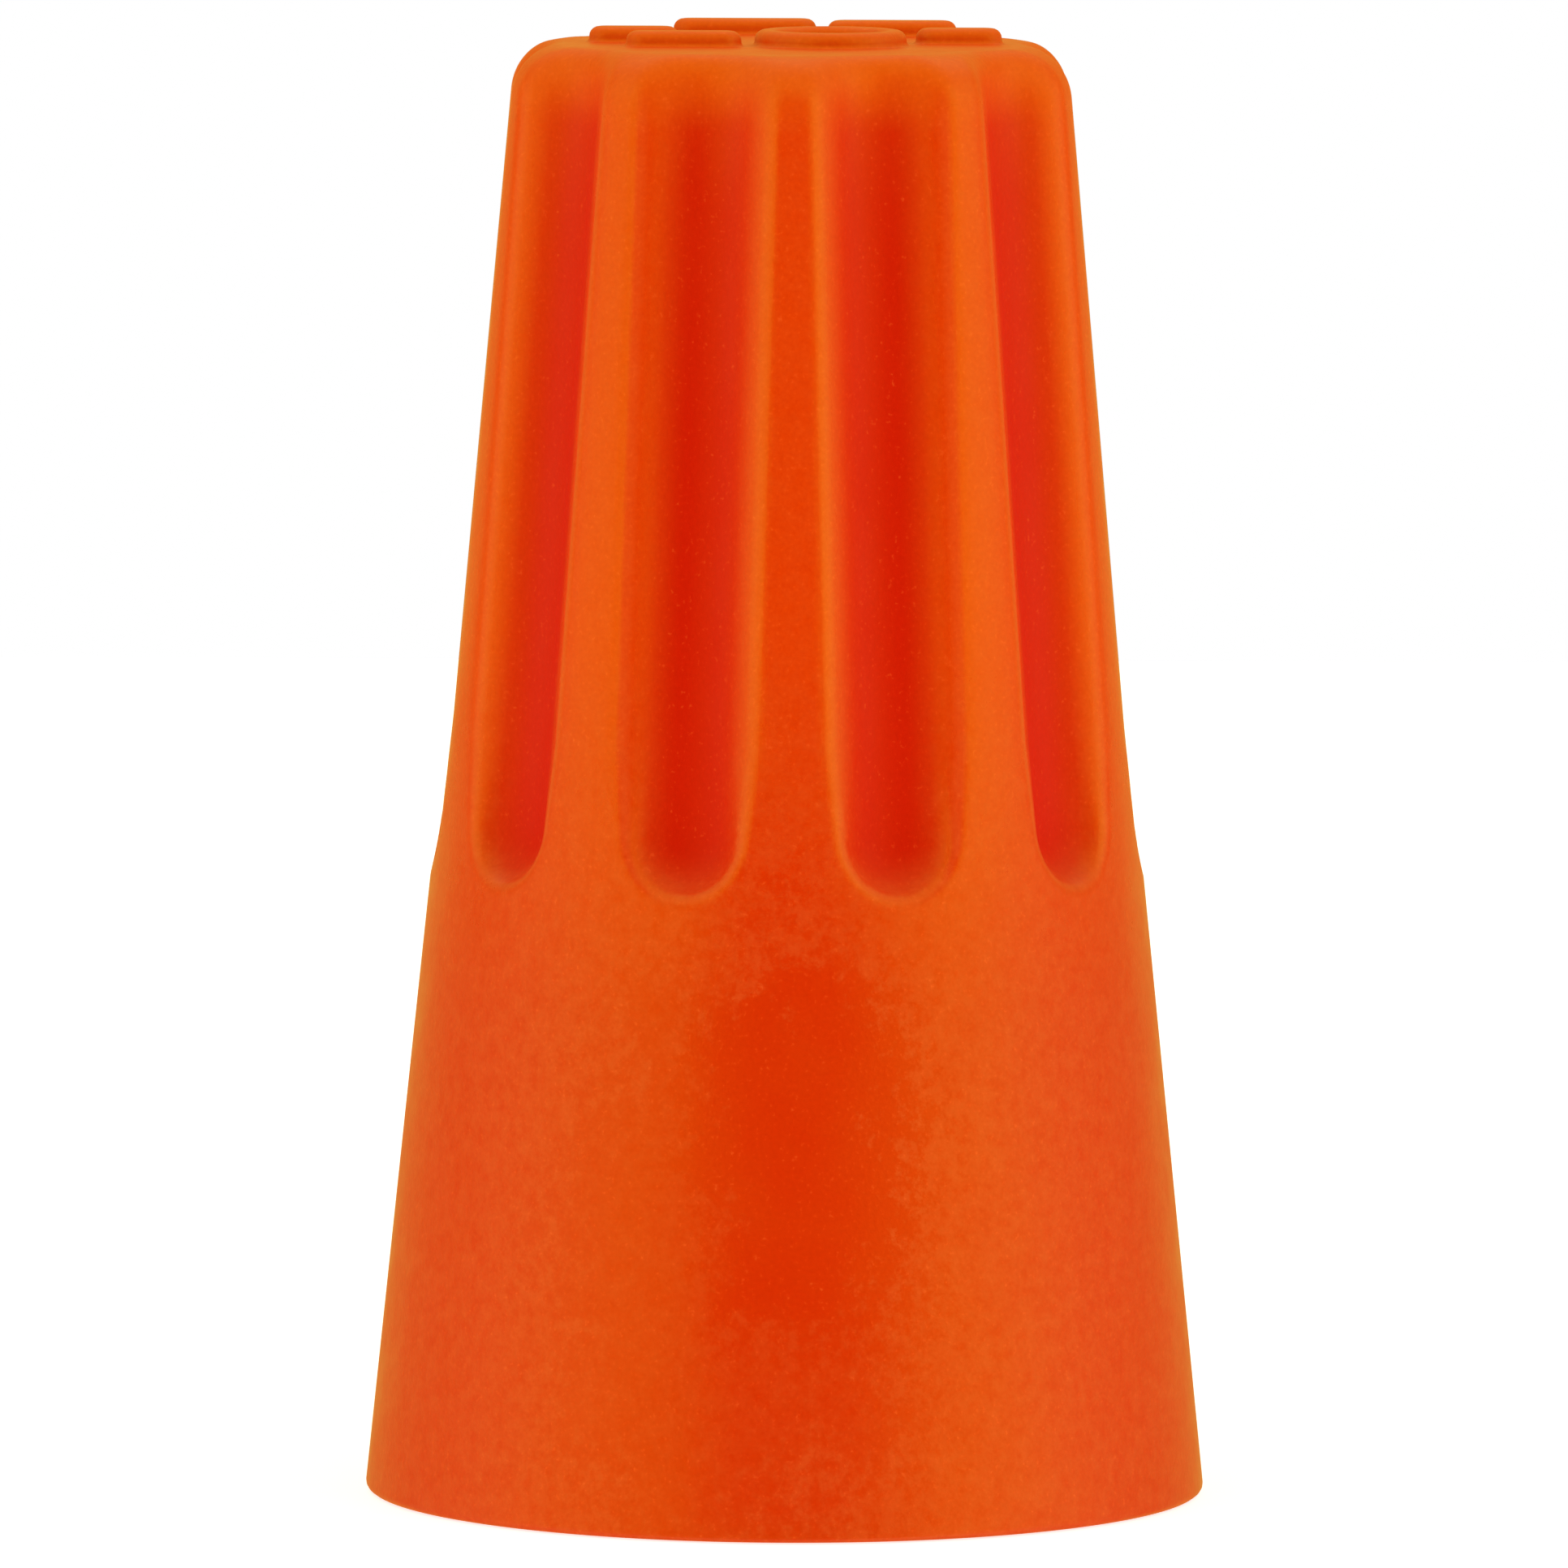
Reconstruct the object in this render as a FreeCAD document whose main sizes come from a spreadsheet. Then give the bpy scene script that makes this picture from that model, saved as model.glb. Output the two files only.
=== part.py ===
import FreeCAD, Part
import Sketcher
import os

# Twist wire connector: a moulded plastic shell with a conical square-wire spring pressed inside.
# Millimetres. The origin is the centre of the open rim, and +Z runs up the axis to the closed crown.

DIMENSIONS = [
    # the shell's outside
    ("rim_radius", 6.70, "outer radius of the skirt at the open rim"),
    ("grip_foot_radius", 5.66, "outer radius where the skirt meets the ribbed grip"),
    ("grip_foot_height", 9.90, "height of that meeting above the rim"),
    ("crown_radius", 4.52, "radius of the grip's cone carried on to the crown's plane"),
    ("crown_height", 23.05, "height of the flat crown above the rim"),
    ("shoulder_fillet", 0.86, "round between the grip and the crown"),
    ("rim_fillet", 0.12, "round on the skirt's lower outer edge"),
    # the grip's flutes
    ("flute_count", 10, "flutes around the grip"),
    ("flute_radius", 1.02, "radius of a flute's section and of its lower end"),
    ("flute_depth", 0.60, "depth of a flute below the grip's cone"),
    ("flute_foot_height", 11.05, "height of the centre of a flute's lower end"),
    ("rib_edge_fillet", 0.38, "round on the edges of the ribs"),
    # the shell's inside
    ("mouth_radius", 5.75, "radius of the skirt's bore at the rim"),
    ("mouth_fillet", 0.30, "round on the mouth's inner edge"),
    ("skirt_bore_radius", 5.05, "radius of the skirt's bore where the funnel starts"),
    ("funnel_foot_height", 6.80, "height of the funnel's wide end"),
    ("funnel_fillet", 0.60, "round at both ends of the funnel"),
    ("throat_radius", 3.45, "radius of the throat that the conductors pass"),
    ("throat_foot_height", 8.40, "height of the funnel's narrow end"),
    ("throat_top_height", 10.00, "height of the lip that holds the spring in"),
    ("chamber_foot_radius", 3.66, "radius of the spring's chamber above the lip"),
    ("chamber_top_radius", 2.22, "radius of the spring's chamber at its closed end"),
    ("chamber_top_height", 21.10, "height of the chamber's closed end"),
    # the raised marks on the crown
    ("mark_height", 0.25, "height of the marks above the crown"),
    ("mark_fillet", 0.16, "round on the marks' upper edges"),
    ("bar_end_radius", 0.31, "radius of a raised bar's rounded ends"),
    ("ring_radius", 1.20, "outer radius of the raised ring"),
    ("ring_band", 0.40, "width of the raised ring's band"),
    ("ring_across", 0.62, "ring's centre across the crown"),
    ("ring_back", -0.78, "ring's centre towards the crown's back, which puts the band across the axis"),
    # the spring
    ("wire_half_diagonal", 0.62, "half the diagonal of the square wire"),
    ("wire_edge_flat", 0.04, "half the width of the flat on each edge of the wire"),
    ("coil_foot_radius", 3.00, "radius of the wire's centre at the wide end"),
    ("coil_foot_height", 10.85, "height of the wire's centre at the wide end"),
    ("coil_pitch", 1.30, "rise of the coil in one turn"),
    ("coil_turns", 7.1, "turns of the coil"),
    ("coil_cone_angle", 8.77, "half-angle of the coil's cone, in degrees"),
]

# Raised bars on the crown: name, centre across, centre towards the back, length between end centres
RAISED_BARS = [
    ("left_bar", -2.48, 0.10, 0.80),
    ("right_bar", 2.66, -0.15, 0.74),
    ("back_left_bar", -0.70, 2.50, 1.66),
    ("back_right_bar", 1.64, 2.05, 1.44),
    ("front_left_bar", -1.70, -1.20, 1.20),
]


def make_sheet(doc):
    """The spreadsheet of driving dimensions, one named cell for each."""
    rows = list(DIMENSIONS)
    for name, across, back, length in RAISED_BARS:
        rows.append((f"{name}_across", across, f"{name}: centre across the crown"))
        rows.append((f"{name}_back", back, f"{name}: centre towards the crown's back"))
        rows.append((f"{name}_length", length, f"{name}: length between its end centres"))
    sheet = doc.addObject("Spreadsheet::Sheet", "dims")
    for row, (alias, value, meaning) in enumerate(rows, start=1):
        sheet.set(f"A{row}", meaning)
        sheet.set(f"B{row}", str(value))
        sheet.setAlias(f"B{row}", alias)
    doc.recompute()
    return sheet


def new_body(doc, label):
    """An empty body at the origin, whose label names the sub-part."""
    body = doc.addObject("PartDesign::Body", label)
    body.Label = label
    body.Placement = FreeCAD.Placement()
    return body


def new_sketch(body, name, role, height=None):
    """An empty sketch on one of the body's own origin planes, or at a dimension's height above it."""
    sketch = body.newObject("Sketcher::SketchObject", name)
    plane = next(f for f in body.Origin.OriginFeatures if f.Role == role)
    sketch.AttachmentSupport = (plane, "")
    sketch.MapMode = "FlatFace"
    if height:
        sketch.setExpression("AttachmentOffset.Base.z", height)
        sketch.recompute()
    return sketch


def bind(sketch, expression, kind, *where):
    """Add a dimensional constraint that the sheet drives."""
    value = float(sketch.evalExpression(expression))
    sketch.addConstraint(Sketcher.Constraint(kind, *where, value))
    sketch.setExpression(f"Constraints[{sketch.ConstraintCount - 1}]", expression)


def pin_point(sketch, geometry, end, across, up):
    """Place a point of the sketch by its two coordinates; None puts it on that axis."""
    for kind, expression, axis in (("DistanceX", across, -2), ("DistanceY", up, -1)):
        if expression is None:
            sketch.addConstraint(Sketcher.Constraint("PointOnObject", geometry, end, axis))
        else:
            bind(sketch, expression, kind, -1, 1, geometry, end)


def point_at(sketch, across, up):
    """The point of the sketch's plane that two expressions give, None being zero."""
    values = [float(sketch.evalExpression(e)) if e else 0.0 for e in (across, up)]
    return FreeCAD.Vector(values[0], values[1], 0.0)


def closed_outline(sketch, corners):
    """Straight lines from corner to corner and back, each corner a pair of expressions or None."""
    spots = [point_at(sketch, across, up) for across, up in corners]
    for spot, following in zip(spots, spots[1:] + spots[:1]):
        sketch.addGeometry(Part.LineSegment(spot, following), False)
    for i, (across, up) in enumerate(corners):
        sketch.addConstraint(Sketcher.Constraint("Coincident", i, 2, (i + 1) % len(corners), 1))
        pin_point(sketch, i, 1, across, up)


def turned(body, kind, name, sketch, axis="V_Axis"):
    """A full Revolution or Groove of a sketch about an axis of that sketch."""
    feature = body.newObject(f"PartDesign::{kind}", name)
    feature.Profile = sketch
    feature.ReferenceAxis = (sketch, [axis])
    feature.Angle = 360.0
    body.Document.recompute()
    return feature


def fillet_edges(body, name, radius, chosen):
    """Round those edges of the body for which chosen(edge) is true."""
    base = body.Tip
    names = [f"Edge{i}" for i, edge in enumerate(base.Shape.Edges, start=1) if chosen(edge)]
    if not names:
        raise RuntimeError(f"{name}: no edge found")
    fillet = body.newObject("PartDesign::Fillet", name)
    fillet.Base = (base, names)
    fillet.setExpression("Radius", radius)
    body.Document.recompute()


def ring_at(radius, height):
    """A test for an edge that is a circle about the Z axis of this radius at this height."""

    def chosen(edge):
        if not isinstance(edge.Curve, Part.Circle):
            return False
        centre = edge.Curve.Center
        off = max(abs(centre.x), abs(centre.y), abs(centre.z - height))
        return off < 0.01 and abs(edge.Curve.Radius - radius) < 0.01

    return chosen


def is_flute_rim(edge):
    """A flute meets the grip in free curves, and every other edge of the grip is a circle or a line."""
    return not isinstance(edge.Curve, (Part.Circle, Part.Line))


def lies_at(edge, height):
    """Does the whole edge lie at one height?"""
    box = edge.BoundBox
    return abs(box.ZMin - height) < 0.001 and abs(box.ZMax - height) < 0.001


def draw_flute(sketch):
    """Half the outline of a round-ended cutter that lies along the grip's cone, mostly outside it."""
    foot = point_at(sketch, "dims.grip_foot_radius", "dims.grip_foot_height")
    crown = point_at(sketch, "dims.crown_radius", "dims.crown_height")
    cutter = point_at(sketch, "dims.flute_radius", "dims.flute_foot_height")
    stand_off = "dims.flute_radius - dims.flute_depth"
    along = (crown - foot).normalize()
    out = FreeCAD.Vector(along.y, -along.x, 0)
    centre = foot + along * ((cutter.y - foot.y) / along.y) + out * sketch.evalExpression(stand_off)
    top = centre + along * (crown.y + cutter.x - cutter.y)
    tip = centre - along * cutter.x
    side = centre + out * cutter.x
    quarter = centre + (out - along).normalize() * cutter.x
    surface, axis, end, wall, cap, core = range(6)
    sketch.addGeometry(Part.LineSegment(foot, crown), True)
    sketch.addGeometry(Part.LineSegment(centre, top), True)
    sketch.addGeometry(Part.Arc(tip, quarter, side), False)
    sketch.addGeometry(Part.LineSegment(side, top + out * cutter.x), False)
    sketch.addGeometry(Part.LineSegment(top + out * cutter.x, top), False)
    sketch.addGeometry(Part.LineSegment(top, tip), False)
    pin_point(sketch, surface, 1, "dims.grip_foot_radius", "dims.grip_foot_height")
    pin_point(sketch, surface, 2, "dims.crown_radius", "dims.crown_height")
    for first, first_end, second, second_end in (
        (end, 3, axis, 1),
        (wall, 2, cap, 1),
        (cap, 2, core, 1),
        (cap, 2, axis, 2),
        (core, 2, end, 1),
    ):
        sketch.addConstraint(
            Sketcher.Constraint("Coincident", first, first_end, second, second_end)
        )
    sketch.addConstraint(Sketcher.Constraint("Parallel", axis, surface))
    sketch.addConstraint(Sketcher.Constraint("Parallel", wall, surface))
    sketch.addConstraint(Sketcher.Constraint("Perpendicular", cap, surface))
    sketch.addConstraint(Sketcher.Constraint("PointOnObject", end, 1, axis))
    sketch.addConstraint(Sketcher.Constraint("Tangent", end, 2, wall, 1))
    bind(sketch, "dims.flute_radius", "Radius", end)
    bind(sketch, stand_off, "Distance", axis, 1, surface)
    bind(sketch, "dims.flute_foot_height", "DistanceY", -1, 1, axis, 1)
    bind(sketch, "dims.crown_height + dims.flute_radius", "DistanceY", -1, 1, axis, 2)


def draw_bar(sketch, name):
    """A straight bar with round ends, lying across the crown."""
    first = sketch.GeometryCount
    ends = [f"dims.{name}_across {sign} dims.{name}_length / 2" for sign in "-+"]
    back = f"dims.{name}_back"
    radius = float(sketch.evalExpression("dims.bar_end_radius"))
    left, right = (point_at(sketch, across, back) for across in ends)
    up = FreeCAD.Vector(0, radius, 0)
    beyond = FreeCAD.Vector(radius, 0, 0)
    sketch.addGeometry(Part.Arc(left + up, left - beyond, left - up), False)
    sketch.addGeometry(Part.LineSegment(left - up, right - up), False)
    sketch.addGeometry(Part.Arc(right - up, right + beyond, right + up), False)
    sketch.addGeometry(Part.LineSegment(right + up, left + up), False)
    for i in range(4):
        following = first + (i + 1) % 4
        sketch.addConstraint(Sketcher.Constraint("Tangent", first + i, 2, following, 1))
    for arc, across in ((first, ends[0]), (first + 2, ends[1])):
        pin_point(sketch, arc, 3, across, back)
    bind(sketch, "dims.bar_end_radius", "Radius", first)


def draw_ring(sketch):
    """Two circles that bound the raised ring."""
    for radius in ("dims.ring_radius", "dims.ring_radius - dims.ring_band"):
        circle = sketch.GeometryCount
        centre = point_at(sketch, "dims.ring_across", "dims.ring_back")
        size = float(sketch.evalExpression(radius))
        sketch.addGeometry(Part.Circle(centre, FreeCAD.Vector(0, 0, 1), size), False)
        pin_point(sketch, circle, 3, "dims.ring_across", "dims.ring_back")
        bind(sketch, radius, "Radius", circle)


def make_shell(doc, sheet):
    """The moulded shell: a tapered cap, fluted above the skirt, with raised marks on its crown."""
    body = new_body(doc, "shell")

    outside = new_sketch(body, "outside_profile", "YZ_Plane")
    closed_outline(
        outside,
        [
            (None, None),
            ("dims.rim_radius", None),
            ("dims.grip_foot_radius", "dims.grip_foot_height"),
            ("dims.crown_radius", "dims.crown_height"),
            (None, "dims.crown_height"),
        ],
    )
    turned(body, "Revolution", "outside", outside)
    shoulder = ring_at(sheet.crown_radius, sheet.crown_height)
    fillet_edges(body, "shoulder", "dims.shoulder_fillet", shoulder)

    flute_profile = new_sketch(body, "flute_profile", "XZ_Plane")
    draw_flute(flute_profile)
    flute = turned(body, "Groove", "flute", flute_profile, "Axis1")
    flutes = body.newObject("PartDesign::PolarPattern", "flutes")
    flutes.Originals = [flute]
    flutes.Axis = (outside, ["V_Axis"])
    flutes.Angle = 360.0
    flutes.setExpression("Occurrences", "dims.flute_count")
    body.Tip = flutes
    doc.recompute()
    fillet_edges(body, "rib_edges", "dims.rib_edge_fillet", is_flute_rim)

    cavity = new_sketch(body, "cavity_profile", "YZ_Plane")
    closed_outline(
        cavity,
        [
            (None, None),
            ("dims.mouth_radius", None),
            ("dims.skirt_bore_radius", "dims.funnel_foot_height"),
            ("dims.throat_radius", "dims.throat_foot_height"),
            ("dims.throat_radius", "dims.throat_top_height"),
            ("dims.chamber_foot_radius", "dims.throat_top_height"),
            ("dims.chamber_top_radius", "dims.chamber_top_height"),
            (None, "dims.chamber_top_height"),
        ],
    )
    turned(body, "Groove", "cavity", cavity)
    fillet_edges(body, "rim", "dims.rim_fillet", ring_at(sheet.rim_radius, 0))
    fillet_edges(body, "mouth", "dims.mouth_fillet", ring_at(sheet.mouth_radius, 0))
    wide_end = ring_at(sheet.skirt_bore_radius, sheet.funnel_foot_height)
    narrow_end = ring_at(sheet.throat_radius, sheet.throat_foot_height)

    def at_funnel_end(edge):
        return wide_end(edge) or narrow_end(edge)

    fillet_edges(body, "funnel", "dims.funnel_fillet", at_funnel_end)

    marks = new_sketch(body, "marks_outline", "XY_Plane", "dims.crown_height")
    for name, _, _, _ in RAISED_BARS:
        draw_bar(marks, name)
    draw_ring(marks)
    pad = body.newObject("PartDesign::Pad", "marks")
    pad.Profile = marks
    pad.setExpression("Length", "dims.mark_height")
    doc.recompute()
    marks_top = sheet.crown_height + sheet.mark_height
    fillet_edges(body, "mark_edges", "dims.mark_fillet", lambda edge: lies_at(edge, marks_top))
    return body


def make_spring(doc):
    """The coil of square wire, wound to a cone with one edge of the wire turned inwards."""
    body = new_body(doc, "coil_spring")
    section = new_sketch(body, "wire_section", "XZ_Plane")
    tip = "(dims.wire_half_diagonal - dims.wire_edge_flat)"
    corners = []
    for out, up in ((1, 0), (0, 1), (-1, 0), (0, -1)):
        for side in (-1, 1):
            across = f"{out} * {tip} + {-up * side} * dims.wire_edge_flat"
            rise = f"{up} * {tip} + {out * side} * dims.wire_edge_flat"
            corners.append((f"dims.coil_foot_radius + {across}", f"dims.coil_foot_height + {rise}"))
    closed_outline(section, corners)
    coil = body.newObject("PartDesign::AdditiveHelix", "coil")
    coil.Profile = section
    coil.ReferenceAxis = (section, ["V_Axis"])
    coil.Mode = "pitch-turns-angle"
    coil.setExpression("Pitch", "dims.coil_pitch")
    coil.setExpression("Turns", "dims.coil_turns")
    coil.setExpression("Angle", "-dims.coil_cone_angle")
    doc.recompute()
    return body


def failed(obj):
    """Did the last recompute leave this object in error?"""
    return any(word in state for state in obj.State for word in ("Invalid", "Error"))


def main():
    doc = FreeCAD.newDocument("twist_wire_connector")
    sheet = make_sheet(doc)
    bodies = [make_shell(doc, sheet), make_spring(doc)]
    doc.recompute()
    broken = [obj.Name for obj in doc.Objects if failed(obj)]
    if broken:
        raise RuntimeError(f"failed objects: {broken}")
    os.makedirs("parts", exist_ok=True)
    for body in bodies:
        if body.Shape.isNull() or not body.Shape.isValid() or len(body.Shape.Solids) != 1:
            raise RuntimeError(f"{body.Label} is not one valid solid")
        print(f"{body.Label}: {body.Shape.Volume:.1f} mm3")
        body.Shape.exportStep(f"parts/{body.Label}.step")


main()
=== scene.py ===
import math

import bpy
import numpy as np
from mathutils import Euler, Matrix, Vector, geometry


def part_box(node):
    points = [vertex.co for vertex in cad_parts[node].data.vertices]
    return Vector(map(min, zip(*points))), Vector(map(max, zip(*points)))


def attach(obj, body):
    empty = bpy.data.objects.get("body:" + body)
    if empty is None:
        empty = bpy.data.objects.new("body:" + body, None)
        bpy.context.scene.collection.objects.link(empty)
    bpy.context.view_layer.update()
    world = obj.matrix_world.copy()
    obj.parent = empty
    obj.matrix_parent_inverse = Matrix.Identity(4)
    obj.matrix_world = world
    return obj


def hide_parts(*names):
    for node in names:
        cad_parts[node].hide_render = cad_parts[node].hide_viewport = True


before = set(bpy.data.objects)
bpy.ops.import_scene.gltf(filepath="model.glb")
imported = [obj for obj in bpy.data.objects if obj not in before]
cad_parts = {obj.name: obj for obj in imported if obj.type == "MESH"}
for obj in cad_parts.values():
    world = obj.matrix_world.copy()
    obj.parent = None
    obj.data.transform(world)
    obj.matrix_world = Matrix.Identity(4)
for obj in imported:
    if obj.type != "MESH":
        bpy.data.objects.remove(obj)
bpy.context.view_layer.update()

# A twist wire connector: a moulded orange shell over a conical spring of square wire.
# Sizes are in millimetres in the CAD model's frame; meshes are made in metres.

MM = 0.001
shell_low, shell_high = (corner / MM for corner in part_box("shell"))
coil_low, coil_high = (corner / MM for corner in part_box("coil_spring"))

# the shell's outside, from the frame's box and the CAD model's proportions
MARK_HEIGHT = 0.25
RIM_RADIUS = min(shell_high.x, shell_high.y)
RIM_ROUND = 0.12
GRIP_FOOT_RADIUS = 5.66
GRIP_FOOT = 9.90
CROWN_RADIUS = 4.52
CROWN_HEIGHT = shell_high.z - MARK_HEIGHT
SHOULDER = 0.86
CROWN_FACE_RADIUS = 3.6
STEP_ROUND = 12.0
SKIRT_SLOPE = (RIM_RADIUS - GRIP_FOOT_RADIUS) / GRIP_FOOT
GRIP_SLOPE = (GRIP_FOOT_RADIUS - CROWN_RADIUS) / (CROWN_HEIGHT - GRIP_FOOT)

# the shell's inside
MOUTH_RADIUS = 5.75
MOUTH_ROUND = 0.30
FUNNEL_WIDE = (5.05, 6.80)
FUNNEL_NARROW = (3.45, 8.40)
FUNNEL_ROUND = 0.60
THROAT_TOP = 10.0
LIP_ROUND = 0.08
CHAMBER_FOOT_RADIUS = 3.66
CHAMBER_FOOT_ROUND = 0.05
CHAMBER_TOP_RADIUS = 2.22
CHAMBER_TOP_ROUND = 0.12
CHAMBER_TOP = 21.1
CHAMBER_FACE_RADIUS = 0.25

# the flutes: FLUTE_FOOT is the height of the round foot's centre, and the edges' rounding grows from
# FOOT_EDGE to RIB_EDGE over the heights in FOOT_EDGE_SPAN
FLUTES = 10
FLUTE_RADIUS = 1.02
FLUTE_DEPTH = 0.60
FLUTE_FOOT = 10.90
RIB_EDGE = 0.38
FOOT_EDGE = 0.16
FOOT_EDGE_SPAN = (10.5, 12.3)

# half the width of a flute with its rounded edges, and the largest share of its sector that it takes
FLUTE_REACH = 1.2
FLUTE_SHARE = 0.92

# the coil
COIL_FOOT_RADIUS = 3.0
WIRE_TIP = coil_high.x - COIL_FOOT_RADIUS
WIRE_ROUND = 0.07
COIL_FOOT = coil_low.z + WIRE_TIP
COIL_TOP = coil_high.z - WIRE_TIP
COIL_PITCH = 1.30
COIL_SLOPE = math.tan(math.radians(8.77))

# raised bars on the crown: centre across, centre towards the back, length between end centres
BARS = [
    (-2.48, 0.10, 0.80),
    (2.66, -0.15, 0.74),
    (-0.70, 2.50, 1.66),
    (1.64, 2.05, 1.44),
    (-1.70, -1.20, 1.20),
]
BAR_RADIUS = 0.31
RING_CENTRE = (0.62, -0.78)
RING_RADII = (0.80, 1.20)
MARK_EDGE = 0.16
MARK_FOOT = 0.08

# the steps of the mesh
ARC_STEP = 0.055
FOOT_STEP = 0.05
FLUTE_STEP = 0.17
FLUTE_COLUMNS = 18
RIB_COLUMNS = 3
TURN_STEPS = 90
MARK_STEPS = 16
RING_STEPS = 72
WALL_STEPS = 5
WIRE_STEPS = 4
SINK_ROUNDS = 30
SINK_ERROR = 1e-6

# patches on the skirt's front where the pale layer is thinned, a painted dark reflection of the space in
# front: centre, half-size, share of the pale layer lost
PAINTED_DARK_PATCHES = [
    ((0.2, -6.2, 6.3), (1.95, 2.5, 3.4), 1.0),
    ((-1.2, -6.4, 4.4), (3.3, 3.0, 5.4), 0.45),
]

# the shell's colours, in linear red, green and blue
# the skirt's orange is darker than the grip's: painted shade, less light falling on the lower part
SHADED_SKIRT_ORANGE = (0.62, 0.017, 0.0006)
GRIP_ORANGE = (0.70, 0.041, 0.0006)
# redder in the flutes: painted shade in the hollows
SHADED_FLUTE_RED = (0.60, 0.0036, 0.0006)
# the crown's orange is lighter: painted light on the upward-facing crown and its marks
CROWN_LIT_ORANGE = (0.71, 0.070, 0.001)
# the pale layer: partly dust, partly painted sheen and painted highlights
DUST_AND_SHEEN = (1.0, 0.46, 0.10)
PALE_GRAIN = (0.86, 0.12, 0.02)
DARK_GRAIN = (0.94, 0.84, 0.8)
OUTSIDE_GLOSS = (0.8, 0.85, 0.02)
# the flutes' reflections are dimmed: painted shade in the hollows
SHADED_FLUTE_GLOSS = (0.5, 0.3, 0.01)
WHITE = (1.0, 1.0, 1.0)

# where the shell's colours change, each as (millimetres, share): DOWN_THE_FLUTES goes by distance
# below the crown, and the others by depth under the grip's cone
# painted shade in the flutes, by depth
FLUTE_SHADE_BY_DEPTH = [(0.10, 0.0), (0.28, 0.34), (0.44, 0.72), (0.5, 0.86), (0.55, 0.95), (0.62, 1.0)]
# how far the flutes' marks reach: the painted shade eases off just below the crown, where more light
# falls
DOWN_THE_FLUTES = [(0.2, 0.0), (1.0, 0.75), (2.3, 0.92), (6.0, 1.0), (13.4, 1.0), (13.8, 0.0)]
# painted light on the flutes' upward-facing feet
FOOT_LIGHT_BY_DEPTH = [(0.05, 0.0), (0.2, 0.045), (0.6, 0.0)]
# paler lines along the ribs' edges: wear and painted highlight
EDGE_WEAR_AND_HIGHLIGHT = [(0.005, 0.0), (0.03, 0.04), (0.06, 0.04), (0.12, 0.0)]

# the floor's half-width in metres, its gap below the rim in millimetres, and its glow
FLOOR_HALF = 0.15
FLOOR_GAP = 0.02
FLOOR_GLOW = 0.75

# the camera: places and lens in millimetres, angles in radians, shift as a share of the frame's width
CAMERA_DISTANCE = 290.0
CAMERA_HEIGHT = 38.85
CAMERA_AZIMUTH = math.radians(-0.7)
CAMERA_PITCH = 0.09484
CAMERA_ROLL = 0.00433
CAMERA_LENS = 420.94
CAMERA_SHIFT = -0.0022

# light from around the object: degrees from the front to the right, radiance and colour
CREAM = (1.0, 0.86, 0.55)
AMBER = (1.0, 0.80, 0.14)
YELLOW = (0.9, 0.84, 0.14)
AROUND = [
    (-180, 0.80, YELLOW),
    (-150, 0.65, YELLOW),
    (-130, 0.45, AMBER),
    (-108, 0.70, AMBER),
    (-88, 1.35, CREAM),
    (-70, 1.6, WHITE),
    (-35, 1.5, WHITE),
    (-19, 0.08, WHITE),
    (16, 0.08, WHITE),
    (34, 1.1, WHITE),
    (48, 1.9, WHITE),
    (70, 2.0, WHITE),
    (88, 1.35, CREAM),
    (108, 0.70, AMBER),
    (130, 0.45, AMBER),
    (150, 0.65, YELLOW),
    (180, 0.80, YELLOW),
]

# light from overhead, which takes over between two elevations in degrees
TOP_LIGHT = 1.3
TOP_COLOUR = (1.0, 0.88, 0.5)
TOP_FROM = (32, 52)


# ---------------------------------------------------------------- outlines

def rounded_path(corners):
    """Points along straight runs between corners (radius, height, rounding, step), with round corners.

    The step is the longest distance between points on the run that leads to the corner.
    """
    spots = [np.array(corner[:2], float) for corner in corners]
    path = [spots[0]]
    for i in range(1, len(corners)):
        rounding, step = corners[i][2:]
        arrive = spots[i] - spots[i - 1]
        arrive /= np.linalg.norm(arrive)
        arc = [spots[i]]
        if rounding:
            leave = spots[i + 1] - spots[i]
            leave /= np.linalg.norm(leave)
            turn = math.acos(float(np.clip(arrive @ leave, -1, 1)))
            setback = rounding * math.tan(turn / 2)
            bend = leave - arrive
            bend /= np.linalg.norm(bend)
            centre = spots[i] + bend * rounding / math.cos(turn / 2)
            start = spots[i] - arrive * setback
            end = spots[i] + leave * setback
            count = max(2, math.ceil(turn * rounding / ARC_STEP))
            arc = []
            for share in np.linspace(0, 1, count + 1):
                a = math.sin((1 - share) * turn) / math.sin(turn)
                b = math.sin(share * turn) / math.sin(turn)
                arc.append(centre + a * (start - centre) + b * (end - centre))
        run = arc[0] - path[-1]
        pieces = max(1, math.ceil(np.linalg.norm(run) / step))
        path += [path[-1] + run * k / pieces for k in range(1, pieces)]
        path += arc
    return np.array(path)


def outward(path):
    """The outline's unit normals, on the side away from the material."""
    along = np.gradient(path, axis=0)
    along /= np.linalg.norm(along, axis=1)[:, None]
    return np.column_stack([along[:, 1], -along[:, 0]])


# ---------------------------------------------------------------- the shell

def skirt_radius(height):
    return RIM_RADIUS - SKIRT_SLOPE * height


def grip_radius(height):
    return GRIP_FOOT_RADIUS - GRIP_SLOPE * (height - GRIP_FOOT)


def cutter_distance(points):
    """Distance from each point to the surface of the round-ended cutter of the flute on the +X side."""
    foot = np.array([GRIP_FOOT_RADIUS, 0.0, GRIP_FOOT])
    along = np.array([CROWN_RADIUS, 0.0, CROWN_HEIGHT]) - foot
    along /= np.linalg.norm(along)
    out = np.array([along[2], 0.0, -along[0]])
    centre = foot + along * (FLUTE_FOOT - foot[2]) / along[2] + out * (FLUTE_RADIUS - FLUTE_DEPTH)
    rise = np.maximum((points - centre) @ along, 0.0)
    return np.linalg.norm(points - centre - rise[..., None] * along, axis=-1) - FLUTE_RADIUS


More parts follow.
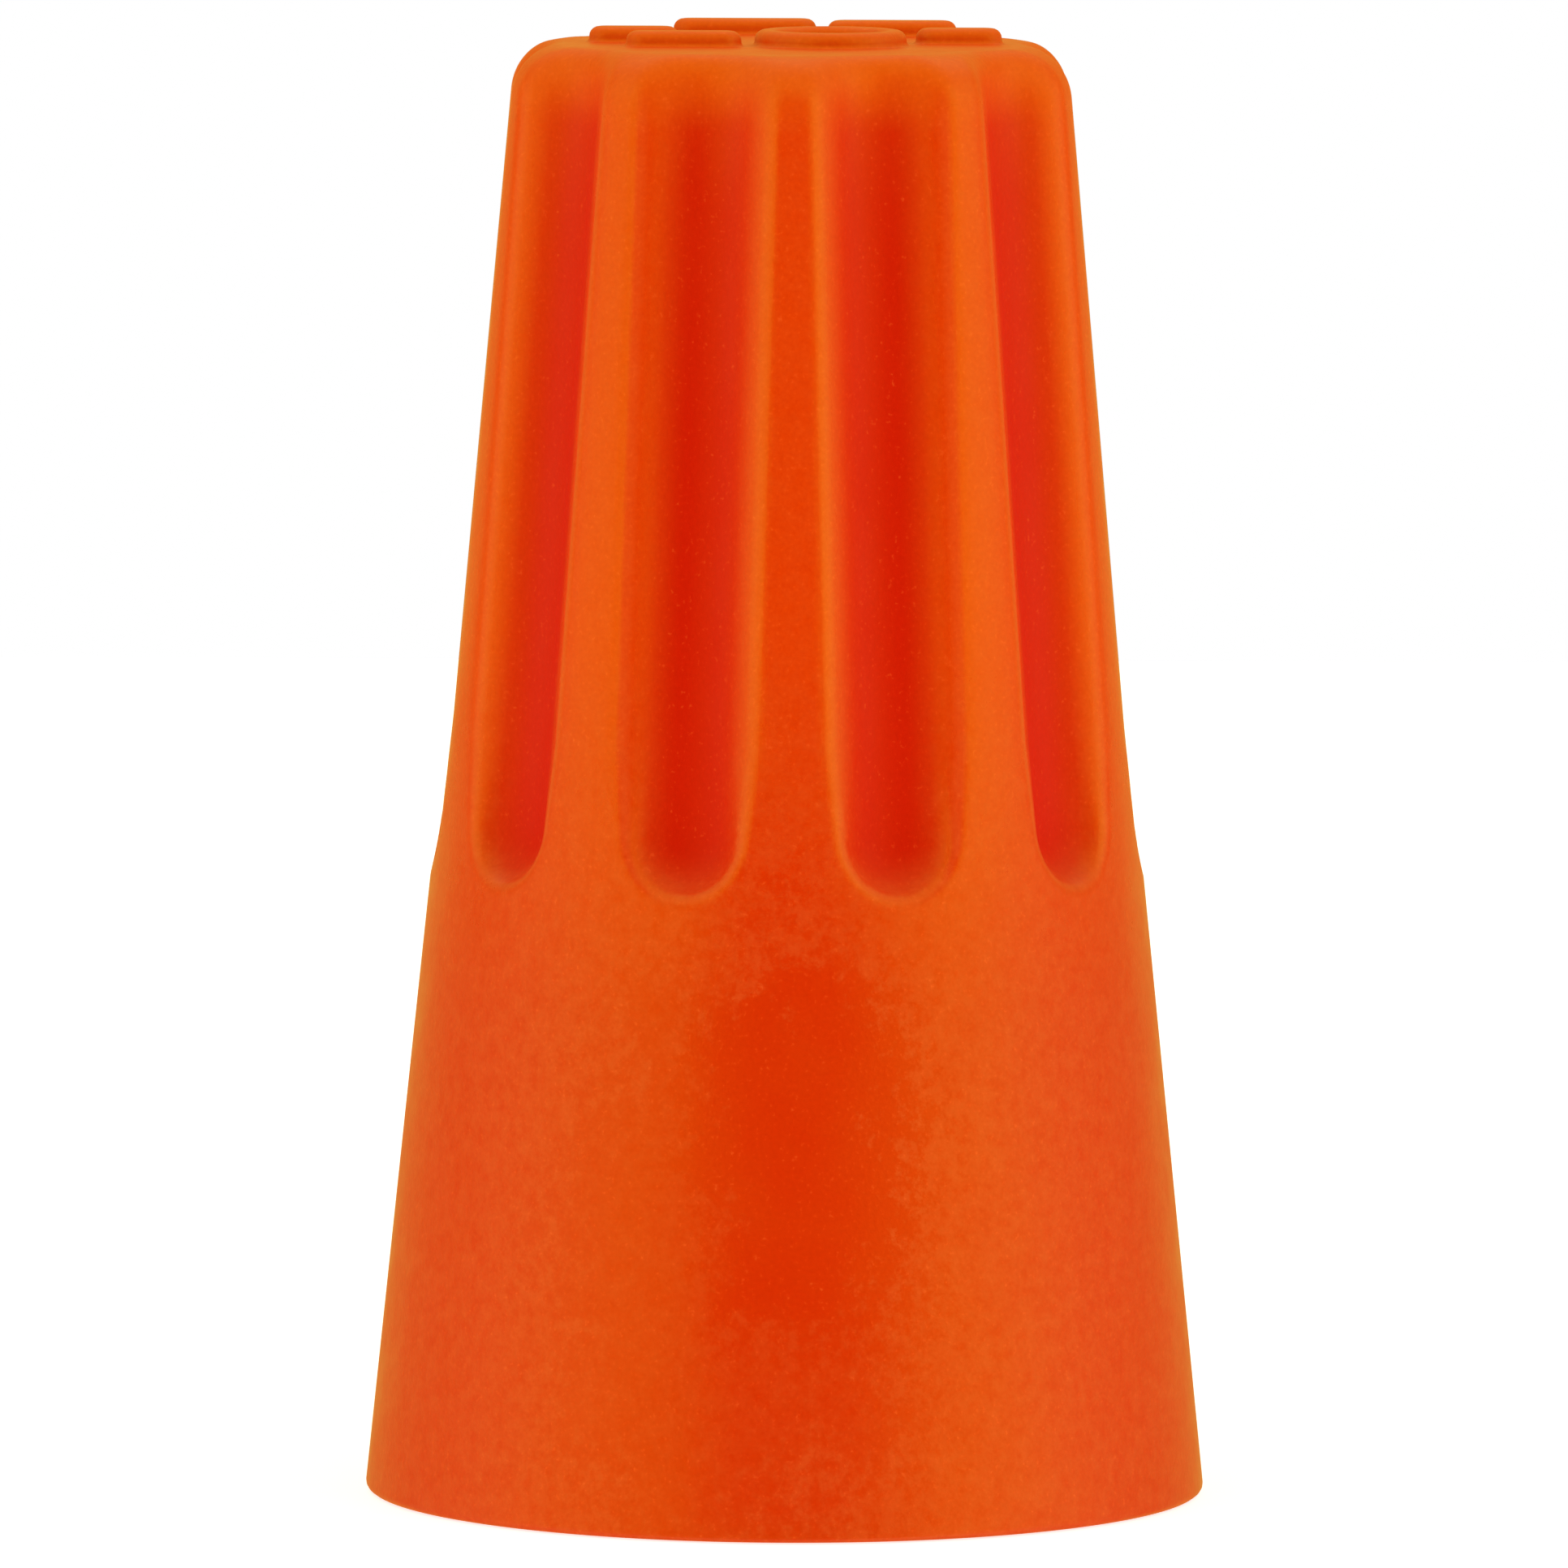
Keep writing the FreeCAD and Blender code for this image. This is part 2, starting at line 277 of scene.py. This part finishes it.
def flute_sink(points, normals):
    """How far each surface point sinks along its normal into the nearest flute, ribs' edges rounded."""
    edge = np.interp(points[..., 2], FOOT_EDGE_SPAN, (FOOT_EDGE, RIB_EDGE))
    low = np.zeros(points.shape[:-1])
    high = np.full(points.shape[:-1], 2 * FLUTE_DEPTH)
    for _ in range(SINK_ROUNDS):
        sink = (low + high) / 2
        cut = -cutter_distance(points - sink[..., None] * normals)
        base = -sink
        corner = np.hypot(np.maximum(base + edge, 0), np.maximum(cut + edge, 0))
        outside = np.minimum(-edge, np.maximum(base, cut)) + corner > SINK_ERROR
        low = np.where(outside, sink, low)
        high = np.where(outside, high, sink)
    return low


def column_angles(radius):
    """Angles of the mesh's columns over half a flute and half a rib, at one radius."""
    half = math.pi / FLUTES
    edge = min(math.asin(FLUTE_REACH / max(radius, FLUTE_REACH)), FLUTE_SHARE * half)
    flute = np.linspace(0, edge, FLUTE_COLUMNS + 1)
    rib = np.linspace(edge, half, RIB_COLUMNS + 1)[1:]
    return np.concatenate([flute, rib])


def shell_rows():
    """Rings of points from the chamber's closed end, down inside, round the rim and up outside."""
    # the rows lie closest together between these heights, round the step and the flutes' feet
    below = GRIP_FOOT - 1.0
    above = FLUTE_FOOT + 0.55
    # radius, height, rounding, longest step on the way there
    corners = [
        (CHAMBER_FACE_RADIUS, CHAMBER_TOP, 0, 1),
        (CHAMBER_TOP_RADIUS, CHAMBER_TOP, CHAMBER_TOP_ROUND, 0.5),
        (CHAMBER_FOOT_RADIUS, THROAT_TOP, CHAMBER_FOOT_ROUND, 3.0),
        (FUNNEL_NARROW[0], THROAT_TOP, LIP_ROUND, 0.1),
        (*FUNNEL_NARROW, FUNNEL_ROUND, 0.3),
        (*FUNNEL_WIDE, FUNNEL_ROUND, 0.3),
        (MOUTH_RADIUS, 0.0, MOUTH_ROUND, 2.0),
        (RIM_RADIUS, 0.0, RIM_ROUND, 0.3),
        (skirt_radius(below), below, 0, 0.45),
        (GRIP_FOOT_RADIUS, GRIP_FOOT, STEP_ROUND, 0.08),
        (grip_radius(above), above, 0, FOOT_STEP),
        (CROWN_RADIUS, CROWN_HEIGHT, SHOULDER, FLUTE_STEP),
        (CROWN_FACE_RADIUS, CROWN_HEIGHT, 0, 0.1),
    ]
    path = rounded_path(corners)
    normals = outward(path)
    outer_from = int(np.argmax(path[:, 0]))
    rows = []
    for index, ((radius, height), (out, up)) in enumerate(zip(path, normals)):
        half = column_angles(radius)
        sector = np.concatenate([-half[:0:-1], half[:-1]])
        points = np.column_stack(
            [radius * np.cos(sector), radius * np.sin(sector), np.full(len(sector), height)]
        )
        if index > outer_from and height > FLUTE_FOOT - 2 * FLUTE_RADIUS:
            away = np.column_stack(
                [out * np.cos(sector), out * np.sin(sector), np.full(len(sector), up)]
            )
            points = points - flute_sink(points, away)[:, None] * away
        ring = []
        for k in range(FLUTES):
            turn = 2 * math.pi * k / FLUTES
            c = math.cos(turn)
            s = math.sin(turn)
            spin = np.array([[c, -s, 0], [s, c, 0], [0, 0, 1]])
            ring.append(points @ spin.T)
        rows.append(np.vstack(ring))
    return rows


def stadium(across, back, half_length, radius):
    """A closed loop round a bar with round ends, counter-clockwise."""
    steps = np.linspace(-math.pi / 2, math.pi / 2, MARK_STEPS + 1)
    right = np.column_stack(
        [across + half_length + radius * np.cos(steps), back + radius * np.sin(steps)]
    )
    left = np.column_stack(
        [across - half_length - radius * np.cos(steps), back - radius * np.sin(steps)]
    )
    return np.vstack([right, left])


def circle(across, back, radius):
    """A closed loop, counter-clockwise."""
    steps = np.linspace(0, 2 * math.pi, RING_STEPS + 1)[:-1]
    return np.column_stack([across + radius * np.cos(steps), back + radius * np.sin(steps)])


def mark_profile():
    """(how far out from the mark's outline, height) from its foot, up its wall, to its top."""
    profile = []
    for a in np.linspace(0, math.pi / 2, WALL_STEPS + 1):
        profile.append((MARK_FOOT * (1 - math.sin(a)), MARK_FOOT * (1 - math.cos(a))))
    for a in np.linspace(0, math.pi / 2, WALL_STEPS + 1):
        out = -MARK_EDGE * (1 - math.cos(a))
        profile.append((out, MARK_HEIGHT - MARK_EDGE + MARK_EDGE * math.sin(a)))
    return profile


class MeshBuilder:
    """Collects points and faces, in millimetres, for one mesh."""

    def __init__(self):
        self.points = []
        self.faces = []

    def ring(self, points):
        """Adds the points and gives their indices."""
        first = len(self.points)
        self.points += [tuple(p) for p in points]
        return list(range(first, first + len(points)))

    def band(self, lower, upper):
        """Quads between two closed rings of equal length."""
        for i in range(len(lower)):
            j = (i + 1) % len(lower)
            self.faces.append((lower[i], lower[j], upper[j], upper[i]))

    def object(self, name):
        """The mesh as a smooth-shaded object in the scene."""
        mesh = bpy.data.meshes.new(name)
        mesh.from_pydata([tuple(c * MM for c in p) for p in self.points], [], self.faces)
        mesh.validate()
        mesh.polygons.foreach_set("use_smooth", [True] * len(mesh.polygons))
        mesh.update()
        piece = bpy.data.objects.new(name, mesh)
        bpy.context.scene.collection.objects.link(piece)
        return piece


def mark_walls(builder, outline):
    """Rings of points up a mark's wall, where outline(out) is its outline grown by out."""
    rings = []
    for out, up in mark_profile():
        rings.append(builder.ring([(x, y, CROWN_HEIGHT + up) for x, y in outline(out)]))
    return rings


def add_crown(builder, edge):
    """The flat crown inside the ring of points edge, with its raised bars and ring welded in."""
    loops = [edge]
    for across, back, length in BARS:
        rings = mark_walls(builder, lambda out: stadium(across, back, length / 2, BAR_RADIUS + out))
        for lower, upper in zip(rings, rings[1:]):
            builder.band(lower, upper)
        builder.faces.append(tuple(rings[-1]))
        loops.append(rings[0])
    inner = mark_walls(builder, lambda out: circle(*RING_CENTRE, RING_RADII[0] - out))
    outer = mark_walls(builder, lambda out: circle(*RING_CENTRE, RING_RADII[1] + out))
    for lower, upper in zip(outer, outer[1:]):
        builder.band(lower, upper)
    for lower, upper in zip(inner, inner[1:]):
        builder.band(upper, lower)
    builder.band(outer[-1], inner[-1])
    builder.faces.append(tuple(inner[0]))
    loops.append(outer[0])

    order = [index for loop in loops for index in loop]
    flat = [Vector(builder.points[index][:2]) for index in order]
    edges = []
    start = 0
    for loop in loops:
        count = len(loop)
        edges += [(start + i, start + (i + 1) % count) for i in range(count)]
        start += count
    made = geometry.delaunay_2d_cdt(flat, edges, [], 2, 1e-9)
    origin = [group[0] for group in made[3]]
    loop_of = [number for number, loop in enumerate(loops) for _ in loop]
    for face in made[2]:
        corners = [origin[v] for v in face]
        touched = {loop_of[corner] for corner in corners}
        # a face with all its corners on one mark lies inside that mark
        if len(touched) > 1 or touched == {0}:
            builder.faces.append(tuple(order[corner] for corner in corners))


def make_shell():
    """The whole moulding as one closed skin."""
    builder = MeshBuilder()
    rings = [builder.ring(points) for points in shell_rows()]
    for lower, upper in zip(rings, rings[1:]):
        builder.band(lower, upper)
    builder.faces.append(tuple(reversed(rings[0])))
    add_crown(builder, rings[-1])
    return builder.object("shell_moulding")


# ---------------------------------------------------------------- the spring

def wire_section():
    """(out, up) round the square wire's section, which stands on a corner, with its corners rounded."""
    section = []
    for quarter in range(4):
        middle = quarter * math.pi / 2
        corner = np.array([math.cos(middle), math.sin(middle)])
        centre = corner * (WIRE_TIP - WIRE_ROUND)
        for a in np.linspace(middle - math.pi / 4, middle + math.pi / 4, WIRE_STEPS + 1):
            section.append(centre + WIRE_ROUND * np.array([math.cos(a), math.sin(a)]))
    return section


def make_coil():
    """The spring: the wire's section carried up a helix that narrows towards the crown."""
    builder = MeshBuilder()
    turns = (COIL_TOP - COIL_FOOT) / COIL_PITCH
    section = wire_section()
    rings = []
    for turn in np.linspace(0, turns, round(turns * TURN_STEPS) + 1):
        rise = turn * COIL_PITCH
        radius = COIL_FOOT_RADIUS - rise * COIL_SLOPE
        c = math.cos(2 * math.pi * turn)
        s = math.sin(2 * math.pi * turn)
        height = COIL_FOOT + rise
        points = [((radius + out) * c, (radius + out) * s, height + up) for out, up in section]
        rings.append(builder.ring(points))
    for lower, upper in zip(rings, rings[1:]):
        builder.band(upper, lower)
    builder.faces.append(tuple(rings[0]))
    builder.faces.append(tuple(reversed(rings[-1])))
    return builder.object("spring_wire")


# ---------------------------------------------------------------- materials

class Nodes:
    """Short calls for building one node tree."""

    def __init__(self, tree):
        self.tree = tree

    def add(self, kind, **settings):
        """A new node with its settings."""
        node = self.tree.nodes.new(kind)
        for key, value in settings.items():
            setattr(node, key, value)
        return node

    def link(self, source, target):
        self.tree.links.new(source, target)

    def place(self, scale):
        """Object coordinates in millimetres, times a scale."""
        coordinates = self.add("ShaderNodeTexCoord")
        mapping = self.add("ShaderNodeMapping")
        mapping.inputs["Scale"].default_value = scale
        self.link(coordinates.outputs["Object"], mapping.inputs["Vector"])
        return mapping.outputs["Vector"]

    def noise(self, size_mm, detail=3.0, roughness=0.5, stretch=(1, 1, 1)):
        """Noise whose features are about size_mm across."""
        node = self.add("ShaderNodeTexNoise")
        node.inputs["Scale"].default_value = 1.0
        node.inputs["Detail"].default_value = detail
        node.inputs["Roughness"].default_value = roughness
        scale = [axis / (size_mm * MM) for axis in stretch]
        self.link(self.place(scale), node.inputs["Vector"])
        return node.outputs["Fac"]

    def remap(self, value, low, high, to_low, to_high):
        """A value carried from one range to another, and held at its ends."""
        node = self.add("ShaderNodeMapRange")
        for name, number in (
            ("From Min", low),
            ("From Max", high),
            ("To Min", to_low),
            ("To Max", to_high),
        ):
            node.inputs[name].default_value = number
        self.link(value, node.inputs["Value"])
        return node.outputs["Result"]

    def blend(self, factor, first, second):
        """A colour between two, each a colour or another node's output."""
        node = self.mix("MIX", first, second)
        self.link(factor, node.inputs[0])
        return node.outputs[2]

    def multiply(self, first, second):
        """Two colours multiplied, each a colour or another node's output."""
        node = self.mix("MULTIPLY", first, second)
        node.inputs[0].default_value = 1.0
        return node.outputs[2]

    def mix(self, mode, first, second):
        """A colour mixing node with its two colours set."""
        node = self.add("ShaderNodeMix", data_type="RGBA", blend_type=mode)
        for socket, colour in ((node.inputs[6], first), (node.inputs[7], second)):
            if isinstance(colour, tuple):
                socket.default_value = (*colour, 1.0)
            else:
                self.link(colour, socket)
        return node

    def maths(self, operation, first, second):
        """One sum on two values, each a number or another node's output."""
        node = self.add("ShaderNodeMath", operation=operation)
        for socket, value in zip(node.inputs, (first, second)):
            if isinstance(value, (int, float)):
                socket.default_value = value
            else:
                self.link(value, socket)
        return node.outputs[0]

    def sum(self, value, times, plus):
        """value * times + plus"""
        return self.maths("ADD", self.maths("MULTIPLY", value, times), plus)

    def round_the_axis(self):
        """Distance from the connector's axis and height above its rim, in millimetres."""
        flat = self.add("ShaderNodeVectorMath", operation="LENGTH")
        self.link(self.place((1 / MM, 1 / MM, 0)), flat.inputs[0])
        split = self.add("ShaderNodeSeparateXYZ")
        self.link(self.place((1 / MM, 1 / MM, 1 / MM)), split.inputs[0])
        return flat.outputs["Value"], split.outputs["Z"]

    def distance(self, centre_mm, size_mm):
        """Distance from a centre, in half-sizes of an ellipsoid about it."""
        mapping = self.place([1 / (size * MM) for size in size_mm])
        from_centre = self.add("ShaderNodeVectorMath", operation="DISTANCE")
        self.link(mapping, from_centre.inputs[0])
        from_centre.inputs[1].default_value = [c / size for c, size in zip(centre_mm, size_mm)]
        return from_centre.outputs["Value"]

    def ramp(self, factor, stops):
        """Colours along a ramp: stops is (place from 0 to 1, colour) in order."""
        node = self.add("ShaderNodeValToRGB")
        self.link(factor, node.inputs[0])
        elements = node.color_ramp.elements
        while len(elements) < len(stops):
            elements.new(0.5)
        for element, (position, colour) in zip(elements, stops):
            element.position = position
            element.color = (*colour, 1.0)
        return node.outputs["Color"]

    def curve(self, value, points):
        """A value along straight lines between points, each (value, result), in order."""
        low, high = points[0][0], points[-1][0]
        share = self.remap(value, low, high, 0.0, 1.0)
        return self.ramp(share, [((at - low) / (high - low), (result,) * 3) for at, result in points])

    def bump(self, height, distance_mm, normal=None):
        """A normal tilted by a height of up to distance_mm, on top of another normal if one is given."""
        node = self.add("ShaderNodeBump")
        node.inputs["Distance"].default_value = distance_mm * MM
        node.inputs["Strength"].default_value = 1.0
        self.link(height, node.inputs["Height"])
        if normal:
            self.link(normal, node.inputs["Normal"])
        return node.outputs["Normal"]


def new_material(name):
    """A material, calls to build its nodes, and the sockets of its shader."""
    material = bpy.data.materials.new(name)
    material.use_nodes = True
    nodes = Nodes(material.node_tree)
    return material, nodes, material.node_tree.nodes["Principled BSDF"].inputs


def shell_plastic():
    """Semi-gloss moulded orange, with painted shade in the flutes and on the skirt, painted light on the
    crown and the flutes' feet, paler edge lines of wear and painted highlight, and a pale layer of dust
    and painted sheen on the skirt, thinned in a painted dark reflection on its front.
    """
    material, n, shader = new_material("shell_plastic")
    radius, height = n.round_the_axis()
    cone = n.sum(height, -GRIP_SLOPE, grip_radius(0.0))
    depth = n.maths("SUBTRACT", cone, radius)
    from_crown = n.sum(height, -1.0, CROWN_HEIGHT)

    # shares of the surface: the flutes' painted shade, their walls, the grip and the crown
    outside = n.remap(depth, 0.66, 0.72, 1.0, 0.0)
    fluted = n.maths("MULTIPLY", n.curve(from_crown, DOWN_THE_FLUTES), outside)
    flute_shade = n.maths("MULTIPLY", n.curve(depth, FLUTE_SHADE_BY_DEPTH), fluted)
    wall = n.maths("MULTIPLY", n.remap(depth, 0.08, 0.35, 0.0, 1.0), fluted)
    grip = n.remap(height, 8.0, 14.0, 0.0, 1.0)
    crown = n.remap(height, CROWN_HEIGHT - 1.2, CROWN_HEIGHT - 0.1, 0.0, 1.0)

    cloud = n.noise(1.4, detail=6.0, roughness=0.62)
    speckle = n.noise(0.24, detail=5.0, roughness=0.75)
    grain = n.noise(0.07, detail=2.0)
    waves = n.noise(1.2, detail=1.0)

    # the pale layer of dust and painted sheen: thinned in patches as a painted dark reflection, thin on
    # the grip, none in the flutes' painted shade, with painted light at the flutes' feet and paler edge
    # lines of wear and painted highlight
    dust_and_sheen = n.remap(speckle, 0.35, 0.65, 0.006, 0.070)
    # patches where the pale layer thins: a painted dark reflection on the skirt's front
    for centre, size, lost in PAINTED_DARK_PATCHES:
        away = n.maths("ADD", n.distance(centre, size), n.sum(cloud, 1.6, -0.8))
        away = n.maths("ADD", away, n.sum(speckle, 2.0, -1.0))
        dust_and_sheen = n.maths("MULTIPLY", dust_and_sheen, n.remap(away, 0.8, 1.1, 1.0 - lost, 1.0))
    dust_and_sheen = n.maths("MULTIPLY", dust_and_sheen, n.remap(grip, 0.0, 1.0, 1.0, 0.35))
    dust_and_sheen = n.maths("MULTIPLY", dust_and_sheen, n.remap(flute_shade, 0.0, 1.0, 1.0, 0.0))
    # painted light on the flutes' upward-facing feet
    at_foot = n.remap(height, FLUTE_FOOT - 0.9, FLUTE_FOOT - 0.1, 1.0, 0.0)
    foot_light = n.maths("MULTIPLY", n.curve(depth, FOOT_LIGHT_BY_DEPTH), at_foot)
    # paler lines along the ribs' edges: wear and painted highlight
    wear_and_highlight = n.maths("MULTIPLY", n.curve(depth, EDGE_WEAR_AND_HIGHLIGHT), fluted)
    dust_and_sheen = n.maths("ADD", dust_and_sheen, n.maths("ADD", foot_light, wear_and_highlight))

    # the skirt darker than the grip: painted shade by height
    colour = n.blend(grip, SHADED_SKIRT_ORANGE, GRIP_ORANGE)
    # the flutes redder: painted shade
    colour = n.blend(flute_shade, colour, SHADED_FLUTE_RED)
    # the crown lighter: painted light
    colour = n.blend(crown, colour, CROWN_LIT_ORANGE)
    # the pale layer of dust and painted sheen
    colour = n.blend(dust_and_sheen, colour, DUST_AND_SHEEN)
    colour = n.blend(n.remap(grain, 0.64, 0.80, 0.0, 0.3), colour, PALE_GRAIN)
    colour = n.multiply(colour, n.blend(n.remap(grain, 0.3, 0.7, 0.0, 1.0), DARK_GRAIN, WHITE))
    n.link(colour, shader["Base Color"])

    # dimmed reflections on the flutes' walls: painted shade
    n.link(n.blend(wall, OUTSIDE_GLOSS, SHADED_FLUTE_GLOSS), shader["Specular Tint"])
    dull = n.sum(wall, 0.25, n.remap(grip, 0.0, 1.0, 0.34, 0.20))
    dull = n.sum(crown, 0.25, dull)
    n.link(n.maths("ADD", n.remap(cloud, 0.35, 0.65, -0.04, 0.06), dull), shader["Roughness"])
    wavy = n.bump(n.maths("MULTIPLY", waves, n.remap(grip, 0.0, 1.0, 1.0, 0.5)), 0.022)
    n.link(n.bump(grain, 0.0035, wavy), shader["Normal"])
    shader["IOR"].default_value = 1.5
    return material


def spring_steel():
    """Zinc-plated drawn wire, with fine lines and slightly cloudy plating."""
    material, n, shader = new_material("spring_steel")
    cloud = n.noise(0.8, detail=4.0)
    n.link(n.blend(cloud, (0.55, 0.56, 0.57), (0.72, 0.73, 0.72)), shader["Base Color"])
    n.link(n.remap(cloud, 0.3, 0.7, 0.22, 0.38), shader["Roughness"])
    n.link(n.bump(n.noise(0.06, stretch=(1, 1, 3)), 0.002), shader["Normal"])
    shader["Metallic"].default_value = 1.0
    return material


def floor_paper():
    """White paper, lit from below as well, as on a product photographer's light table."""
    material, n, shader = new_material("floor_paper")
    fibre = n.noise(4.0, detail=4.0)
    n.link(n.blend(fibre, (0.6, 0.6, 0.6), (0.62, 0.62, 0.62)), shader["Base Color"])
    shader["Roughness"].default_value = 0.6
    shader["Emission Color"].default_value = (*WHITE, 1.0)
    shader["Emission Strength"].default_value = FLOOR_GLOW
    return material


# ---------------------------------------------------------------- the studio

def make_floor(material):
    """A plain square just below the rim, left out of the shell's reflections."""
    height = (shell_low.z - FLOOR_GAP) * MM
    corners = [
        (-FLOOR_HALF, -FLOOR_HALF, height),
        (FLOOR_HALF, -FLOOR_HALF, height),
        (FLOOR_HALF, FLOOR_HALF, height),
        (-FLOOR_HALF, FLOOR_HALF, height),
    ]
    mesh = bpy.data.meshes.new("floor")
    mesh.from_pydata(corners, [], [(0, 1, 2, 3)])
    floor = bpy.data.objects.new("floor", mesh)
    bpy.context.scene.collection.objects.link(floor)
    mesh.materials.append(material)
    floor.visible_glossy = False


def make_camera():
    """The camera at the photo's angle: in front, a little above, looking at the object's middle."""
    data = bpy.data.cameras.new("camera")
    data.lens = CAMERA_LENS
    data.sensor_width = 36.0
    data.shift_x = CAMERA_SHIFT
    data.clip_start = 0.01
    data.clip_end = 100.0
    camera = bpy.data.objects.new("camera", data)
    camera.location = Vector(
        (
            math.sin(CAMERA_AZIMUTH) * CAMERA_DISTANCE,
            -math.cos(CAMERA_AZIMUTH) * CAMERA_DISTANCE,
            CAMERA_HEIGHT,
        )
    ) * MM
    aim = Euler((math.pi / 2 - CAMERA_PITCH, 0.0, CAMERA_AZIMUTH)).to_matrix()
    roll = Euler((0.0, 0.0, CAMERA_ROLL)).to_matrix()
    camera.rotation_euler = (aim @ roll).to_euler()
    bpy.context.scene.collection.objects.link(camera)
    bpy.context.scene.camera = camera


def make_light():
    """White panels at the sides, a dark gap in front, warm light from overhead and from behind.

    The camera itself sees a plain white backdrop.
    """
    world = bpy.data.worlds.new("studio")
    world.use_nodes = True
    bpy.context.scene.world = world
    n = Nodes(world.node_tree)
    background = n.tree.nodes["Background"].inputs
    split = n.add("ShaderNodeSeparateXYZ")
    n.link(n.add("ShaderNodeTexCoord").outputs["Generated"], split.inputs[0])
    right, back, up = split.outputs
    azimuth = n.maths("ARCTAN2", right, n.maths("MULTIPLY", back, -1.0))
    peak = max(radiance for _, radiance, _ in AROUND)
    stops = []
    for degrees, radiance, colour in AROUND:
        stops.append((degrees / 360 + 0.5, [c * radiance / peak for c in colour]))
    around = n.ramp(n.sum(azimuth, 0.5 / math.pi, 0.5), stops)
    low, high = (math.sin(math.radians(degrees)) for degrees in TOP_FROM)
    overhead = n.remap(up, low, high, 0.0, 1.0)
    light = n.blend(overhead, around, tuple(c * TOP_LIGHT / peak for c in TOP_COLOUR))
    seen = n.add("ShaderNodeLightPath").outputs["Is Camera Ray"]
    n.link(n.blend(seen, light, (1 / peak,) * 3), background["Color"])
    background["Strength"].default_value = peak
    bpy.context.scene.view_settings.view_transform = "Standard"


def main():
    make_camera()
    make_light()
    make_floor(floor_paper())

    shell = make_shell()
    shell.data.materials.append(shell_plastic())
    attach(shell, "root")
    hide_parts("shell")

    coil = make_coil()
    coil.data.materials.append(spring_steel())
    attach(coil, "root")
    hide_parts("coil_spring")


main()
